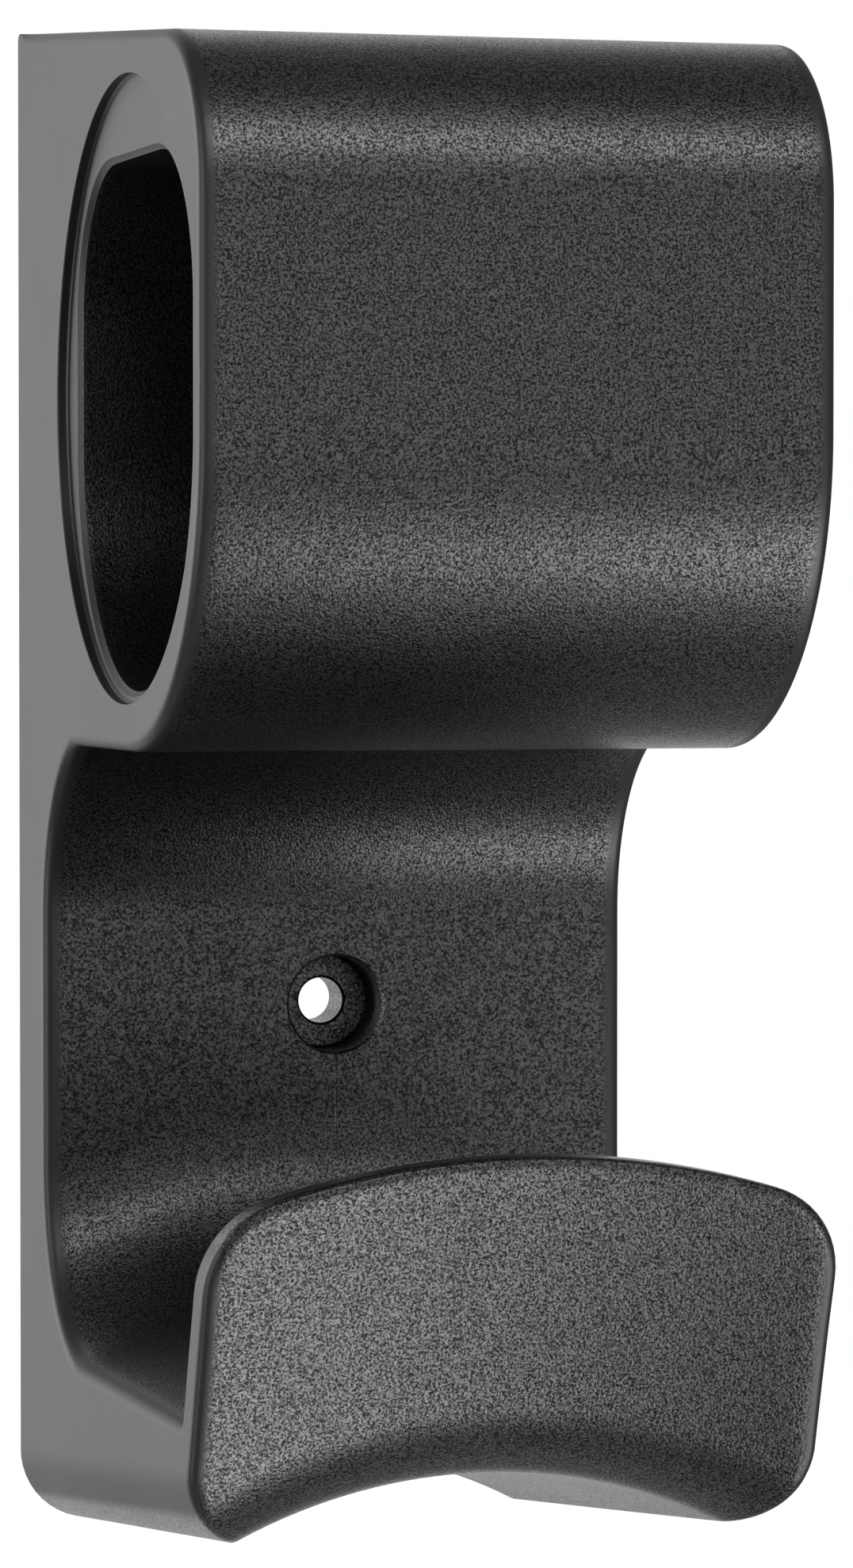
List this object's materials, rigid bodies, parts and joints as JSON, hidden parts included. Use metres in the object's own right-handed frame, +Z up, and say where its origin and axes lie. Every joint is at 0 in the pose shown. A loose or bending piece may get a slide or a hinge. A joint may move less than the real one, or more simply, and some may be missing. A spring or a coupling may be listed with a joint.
{
  "type": "EV connector holder",
  "caption": "Wall holder for a charging connector: a barrel with a sideways D-shaped socket above a screw neck and a saddle hook for the coiled cable.",
  "frame": {"origin": "where the axis of the screw hole meets the wall face", "axes": "+X along the wall to the viewer's right, +Y into the wall, +Z up; the holder's front faces -Y and its back face lies in the plane Y = 0"},
  "size_m": [0.0708, 0.0952, 0.177],
  "materials": {
    "black_plastic": "matt spark-eroded grain, smooth on the side faces"
  },
  "bodies": {
    "root": {"holder": "black_plastic"}
  },
  "joints": []
}
